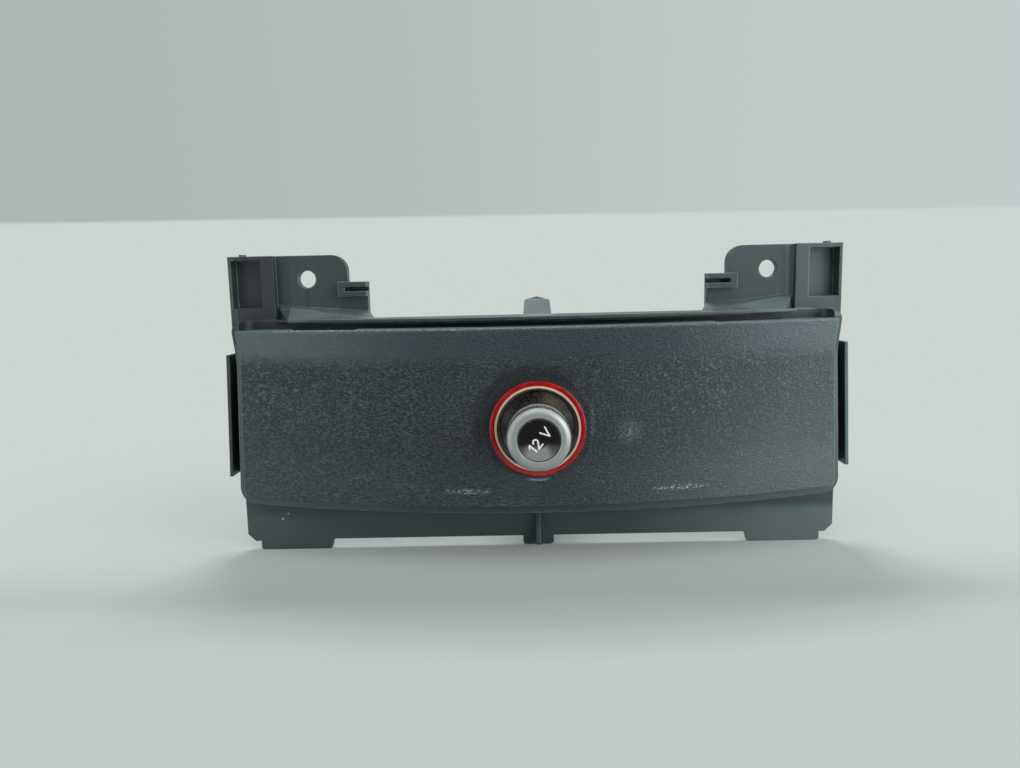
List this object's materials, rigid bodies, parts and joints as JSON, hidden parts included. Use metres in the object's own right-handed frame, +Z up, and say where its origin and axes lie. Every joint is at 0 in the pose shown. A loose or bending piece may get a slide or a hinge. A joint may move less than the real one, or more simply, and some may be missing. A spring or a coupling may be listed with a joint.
{
  "type": "car console trim panel with 12 v power socket",
  "caption": "Curved console trim panel for a car, with screw brackets, a lit power socket and its pull-out cover plug.",
  "frame": {"origin": "midway between the two fixing holes, on the front face of their plates", "axes": "+X to the right along the panel, +Y to the rear, away from the user, +Z up. The socket's axis runs along Y at x -1.1 mm"},
  "size_m": [0.232, 0.0844, 0.1114],
  "materials": {
    "carrier_plastic": "smooth matte",
    "grained_plastic": "leather grain",
    "black_plastic": "matte",
    "red_plastic": "gloss, slightly translucent",
    "shell_chrome": "bright",
    "contact_brass": "bright",
    "insulator": "phenolic board",
    "screw_steel": "zinc plated",
    "bulb_glass": "clear",
    "satin_silver": "satin, plated",
    "gloss_black": "gloss"
  },
  "bodies": {
    "panel": {"carrier": "carrier_plastic", "face_panel": "grained_plastic", "panel_screws": "screw_steel", "light_ring": "red_plastic", "retaining_collar": "black_plastic", "socket_shell": "shell_chrome", "ground_spring_left": "contact_brass", "ground_spring_right": "contact_brass", "rear_insulator": "insulator", "outer_washer": "insulator", "centre_contact": "contact_brass", "contact_rivet": "screw_steel", "centre_terminal": "contact_brass", "ground_terminal": "contact_brass", "connector_housing": "black_plastic", "lamp_holder": "black_plastic", "lamp_bulb": "bulb_glass", "lamp_terminal_left": "contact_brass", "lamp_terminal_right": "contact_brass"},
    "plug": {"plug_body": "black_plastic"},
    "knob": {"plug_knob": "satin_silver", "plug_cap": "gloss_black"}
  },
  "joints": [
    {"name": "plug_pull", "type": "slide", "parent": "panel", "child": "plug", "axis": [0, -1, 0], "range_m": [0, 0.045]},
    {"name": "knob_turn", "type": "hinge", "parent": "plug", "child": "knob", "pos_m": [-0.0011, -0.047, -0.0526], "axis": [0, -1, 0], "continuous": true}
  ]
}
